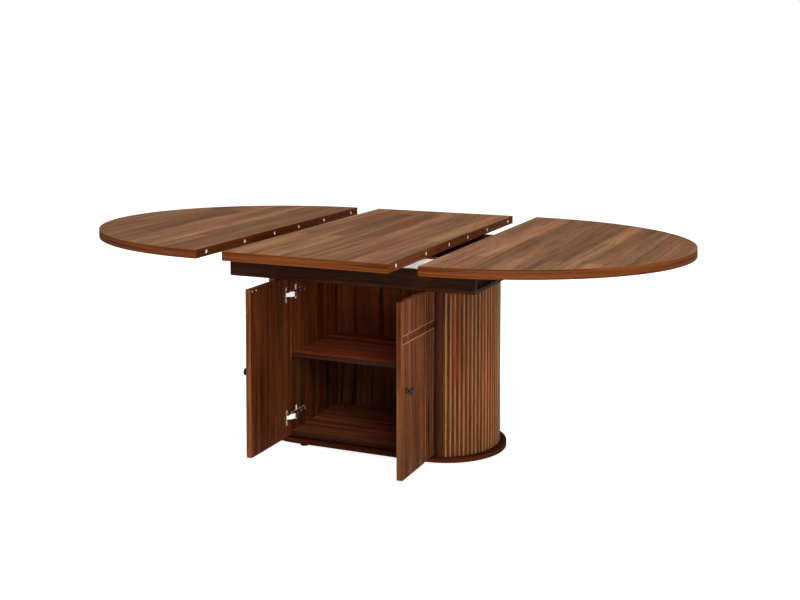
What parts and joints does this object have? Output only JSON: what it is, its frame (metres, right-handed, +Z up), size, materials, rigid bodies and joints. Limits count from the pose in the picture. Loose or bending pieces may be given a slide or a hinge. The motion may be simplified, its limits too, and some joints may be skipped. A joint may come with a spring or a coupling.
{
  "type": "extending kitchen table with storage cabinet",
  "caption": "Oval extending table on a fluted cabinet base with hinged doors, an inner shelf, and end leaves that slide apart around a lift-out centre leaf.",
  "frame": {"origin": "on the floor under the middle of the cabinet, halfway along and across the table", "axes": "+X along the table's length towards the right leaf, -Y towards the doors, +Z up"},
  "size_m": [2.232, 1.232, 0.76],
  "materials": {
    "leaf_walnut": "satin lacquered walnut",
    "edging_walnut": "satin lacquered walnut edging",
    "fluted_walnut": "satin lacquered fluted walnut",
    "door_walnut": "satin lacquered walnut",
    "apron_walnut": "dark walnut, satin",
    "plinth_veneer": "walnut, satin",
    "inner_veneer": "walnut board, matt",
    "strip_wood": "oiled hardwood",
    "pin_beech": "bare beech",
    "bush_plastic": "moulded plastic",
    "inlay_strip": "light inlay",
    "knob_black": "satin black",
    "glide_plastic": "black",
    "slide_aluminium": "anodised",
    "hinge_steel": "nickel plated",
    "screw_steel": "zinc plated",
    "strike_steel": "zinc plated",
    "magnet_steel": "dull"
  },
  "bodies": {
    "cabinet": {"apron_board_back": "apron_walnut", "apron_board_front": "apron_walnut", "back_panel": "inner_veneer", "base_plate": "plinth_veneer", "cabinet_floor": "inner_veneer", "catch_magnets": "magnet_steel", "cross_bearer_left": "inner_veneer", "cross_bearer_right": "inner_veneer", "end_panel_left": "fluted_walnut", "end_panel_right": "fluted_walnut", "end_ribs_left": "inner_veneer", "end_ribs_right": "inner_veneer", "glides": "glide_plastic", "hinge_housings": "hinge_steel", "hinge_pins": "hinge_steel", "hinge_plates": "hinge_steel", "hinge_screws": "screw_steel", "platform_board": "apron_walnut", "rail_ledger_back": "inner_veneer", "rail_ledger_front": "inner_veneer", "shelf": "inner_veneer", "shelf_pins": "hinge_steel", "side_panel_left": "inner_veneer", "side_panel_right": "inner_veneer", "slide_channel_back": "slide_aluminium", "slide_channel_front": "slide_aluminium", "top_panel": "inner_veneer"},
    "door_left": {"door_left": "door_walnut", "door_inlays_left": "inlay_strip", "knob_left": "knob_black", "knob_bolt_left": "screw_steel", "hinge_cups_left": "hinge_steel", "door_screws_left": "screw_steel", "strike_plate_left": "strike_steel"},
    "hinge_arms_left": {"hinge_arms_left": "hinge_steel"},
    "leaf_left": {"leaf_left": "leaf_walnut", "leaf_left_edging": "edging_walnut", "slide_bars_left": "slide_aluminium", "leaf_strips_left": "strip_wood", "bar_screws_left": "screw_steel", "leaf_left_bushes": "bush_plastic"},
    "door_right": {"door_right": "door_walnut", "door_inlays_right": "inlay_strip", "knob_right": "knob_black", "knob_bolt_right": "screw_steel", "hinge_cups_right": "hinge_steel", "door_screws_right": "screw_steel", "strike_plate_right": "strike_steel"},
    "hinge_arms_right": {"hinge_arms_right": "hinge_steel"},
    "leaf_right": {"leaf_right": "leaf_walnut", "leaf_right_edging": "edging_walnut", "slide_bars_right": "slide_aluminium", "leaf_strips_right": "strip_wood", "bar_screws_right": "screw_steel", "leaf_right_pins": "pin_beech"},
    "leaf_centre": {"leaf_centre": "leaf_walnut", "leaf_centre_edging": "edging_walnut", "leaf_centre_pins": "pin_beech", "leaf_centre_bushes": "bush_plastic"}
  },
  "joints": [
    {"name": "door_right_hinge", "type": "hinge", "parent": "cabinet", "child": "door_right", "pos_m": [0.2765, -0.21, 0.3255], "axis": [0, 0, 1], "range_deg": [-90, 0]},
    {"name": "door_left_hinge", "type": "hinge", "parent": "cabinet", "child": "door_left", "pos_m": [-0.2765, -0.21, 0.3255], "axis": [0, 0, 1], "range_deg": [0, 90]},
    {"name": "hinge_arms_right_pivot", "type": "hinge", "parent": "cabinet", "child": "hinge_arms_right", "pos_m": [0.249, -0.192, 0.329], "axis": [0, 0, 1], "range_deg": [-110.5, 0.5]},
    {"name": "hinge_arms_left_pivot", "type": "hinge", "parent": "cabinet", "child": "hinge_arms_left", "pos_m": [-0.249, -0.192, 0.329], "axis": [0, 0, 1], "range_deg": [-0.5, 110.5]},
    {"name": "leaf_left_slide", "type": "slide", "parent": "cabinet", "child": "leaf_left", "axis": [-1, 0, 0], "range_m": [-0.0985, 0.02]},
    {"name": "leaf_right_slide", "type": "slide", "parent": "cabinet", "child": "leaf_right", "axis": [1, 0, 0], "range_m": [-0.0985, 0.02]},
    {"name": "leaf_centre_lift", "type": "slide", "parent": "cabinet", "child": "leaf_centre", "axis": [0, 0, 1], "range_m": [0, 0.12]}
  ],
  "couplings": [
    {"joint": "hinge_arms_right_pivot", "follows": "door_right_hinge", "ratio": 1.2222},
    {"joint": "hinge_arms_left_pivot", "follows": "door_left_hinge", "ratio": 1.2222}
  ]
}
